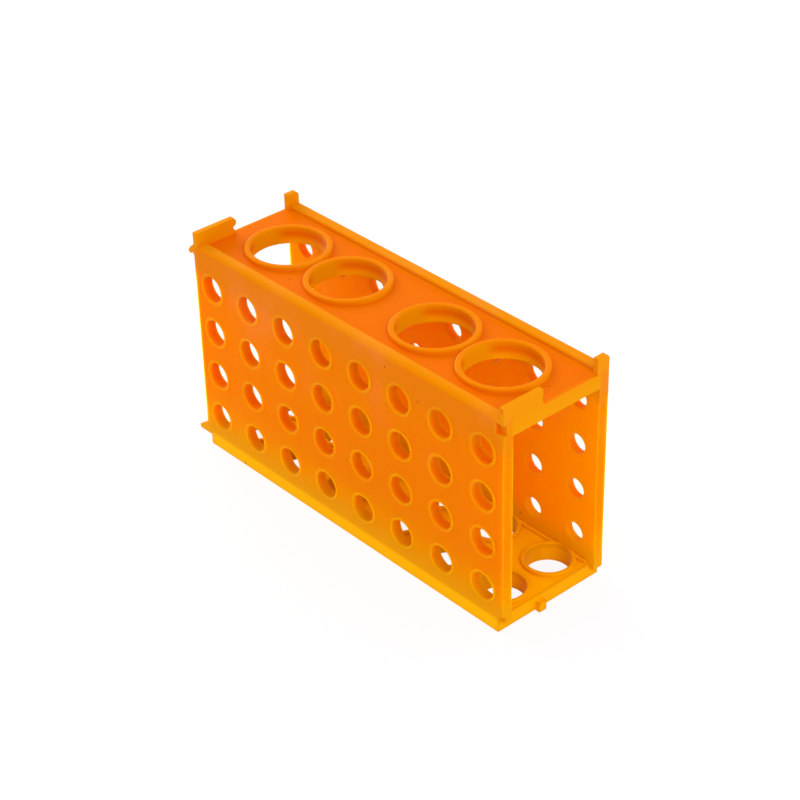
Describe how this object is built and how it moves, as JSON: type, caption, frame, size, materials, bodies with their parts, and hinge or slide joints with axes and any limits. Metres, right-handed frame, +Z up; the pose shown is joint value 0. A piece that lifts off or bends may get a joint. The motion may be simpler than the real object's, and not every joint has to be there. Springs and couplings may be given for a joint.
{
  "type": "microcentrifuge tube rack",
  "caption": "Tube rack of flat orange plastic panels clipped into an open-ended tunnel, with a different size of round tube hole in each long face.",
  "frame": {"origin": "middle of the flat underside, where the rack rests", "axes": "+X along the rack towards its socketed end, +Y from the 1.5 ml face to the 0.5 ml face, +Z up towards the 50 ml face"},
  "size_m": [0.1818, 0.0533, 0.1],
  "materials": {
    "orange_polypropylene": "satin, slightly translucent"
  },
  "bodies": {
    "root": {"front_panel": "orange_polypropylene", "back_panel": "orange_polypropylene", "top_plate": "orange_polypropylene", "bottom_plate": "orange_polypropylene"}
  },
  "joints": []
}
